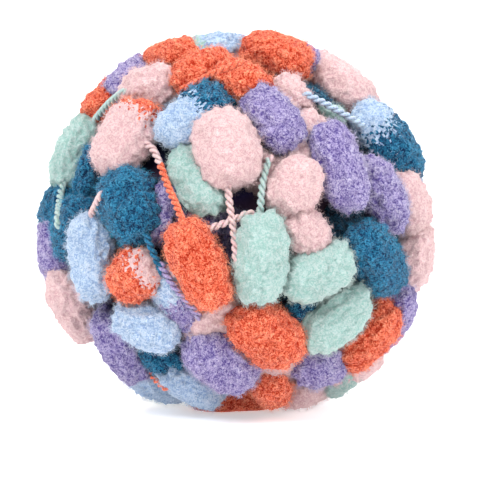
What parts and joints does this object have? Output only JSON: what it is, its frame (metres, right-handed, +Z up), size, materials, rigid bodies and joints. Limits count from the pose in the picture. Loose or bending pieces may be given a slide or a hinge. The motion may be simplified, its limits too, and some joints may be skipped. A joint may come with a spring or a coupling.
{
  "type": "wound ball of pompom yarn",
  "caption": "Ball of thin twisted yarn with soft round pompoms in six pastel and bright dyes, wound tight and resting on a small flat spot.",
  "frame": {"origin": "centre of the ball's footprint, on the surface that it rests on", "axes": "+Z up; the side that the picture shows faces -Y; +X to the right of that view"},
  "size_m": [0.1477, 0.1468, 0.1416],
  "materials": {
    "yarn": "soft polyester pile, space-dyed in six dyes",
    "coral": "soft polyester pile and cord, coral dye",
    "blush": "soft polyester pile and cord, blush pink dye",
    "mint": "soft polyester pile and cord, mint green dye",
    "teal": "soft polyester pile and cord, teal blue dye",
    "sky": "soft polyester pile and cord, sky blue dye",
    "lilac": "soft polyester pile and cord, lilac dye"
  },
  "bodies": {
    "root": {"yarn_ball": "yarn"}
  },
  "joints": []
}
